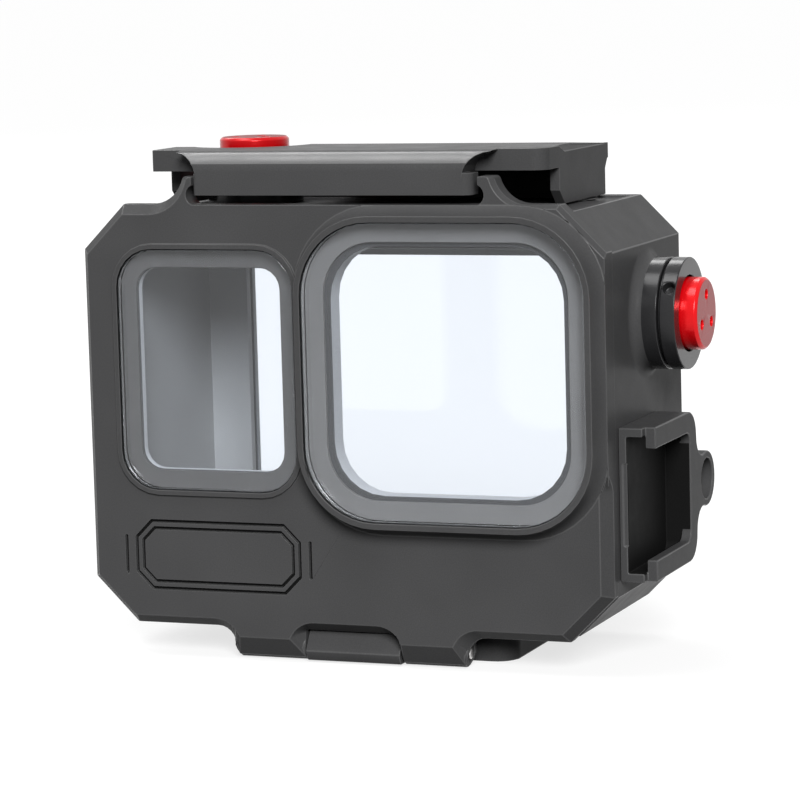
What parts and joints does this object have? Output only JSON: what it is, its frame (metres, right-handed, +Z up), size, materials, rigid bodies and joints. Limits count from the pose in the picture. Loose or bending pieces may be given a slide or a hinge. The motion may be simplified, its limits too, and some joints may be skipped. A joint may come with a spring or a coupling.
{
  "type": "underwater camera housing",
  "caption": "Machined black metal underwater housing for a small action camera, with a hinged front door, glass windows, a top latch lever and red push buttons.",
  "frame": {"origin": "centre of the mount block's flat bottom face", "axes": "+X to the right seen from the front, +Y from the front door to the rear window, +Z up"},
  "size_m": [0.0942, 0.0447, 0.0795],
  "materials": {
    "black_metal": "fine bead-blasted, black anodised, satin",
    "red_metal": "turned and red anodised, glossy",
    "window_glass": "clear polished pane",
    "grey_rubber": "matte grey flat gasket",
    "black_rubber": "matte black moulded",
    "bare_steel": "bare stainless steel"
  },
  "bodies": {
    "housing": {"housing_shell": "black_metal", "door_seal": "black_rubber", "rear_window": "window_glass", "rear_window_seal": "black_rubber", "rear_window_frame": "black_metal", "rear_screw_low_left": "bare_steel", "rear_screw_low_right": "bare_steel", "rear_screw_high_left": "bare_steel", "rear_screw_high_right": "bare_steel", "hinge_pin": "bare_steel", "latch_pin_left": "bare_steel", "latch_pin_right": "bare_steel", "side_shoe": "black_metal", "shoe_screw_lower": "black_metal", "shoe_screw_upper": "black_metal", "mount_block": "black_metal", "mount_screw_left": "bare_steel", "mount_screw_right": "bare_steel", "rest_pad_left": "black_rubber", "rest_pad_right": "black_rubber", "shutter_bushing": "black_metal", "shutter_seal": "black_rubber", "shutter_spring": "bare_steel", "mode_collar": "black_metal", "mode_seal": "black_rubber", "mode_spring": "bare_steel"},
    "door": {"front_door": "black_metal", "lens_window": "window_glass", "lens_window_seal": "grey_rubber", "screen_window": "window_glass", "screen_window_seal": "black_rubber"},
    "latch": {"latch_lever": "black_metal"},
    "shutter": {"shutter_button": "red_metal", "shutter_stem": "bare_steel", "shutter_clip": "bare_steel"},
    "mode": {"mode_button": "red_metal", "mode_stem": "bare_steel", "mode_clip": "bare_steel"}
  },
  "joints": [
    {"name": "door_hinge", "type": "hinge", "parent": "housing", "child": "door", "pos_m": [0, -0.0162, 0.0022], "axis": [1, 0, 0], "range_deg": [0, 100]},
    {"name": "latch_hinge", "type": "hinge", "parent": "housing", "child": "latch", "pos_m": [0, 0.0126, 0.0724], "axis": [-1, 0, 0], "range_deg": [0, 85]},
    {"name": "shutter_press", "type": "slide", "parent": "housing", "child": "shutter", "axis": [0, 0, -1], "range_m": [0, 0.0016], "stiffness_N_per_m": 400, "springref_m": -0.002, "deforming": ["shutter_spring"]},
    {"name": "mode_press", "type": "slide", "parent": "housing", "child": "mode", "axis": [-1, 0, 0], "range_m": [0, 0.0015], "stiffness_N_per_m": 400, "springref_m": -0.002, "deforming": ["mode_spring"]}
  ]
}
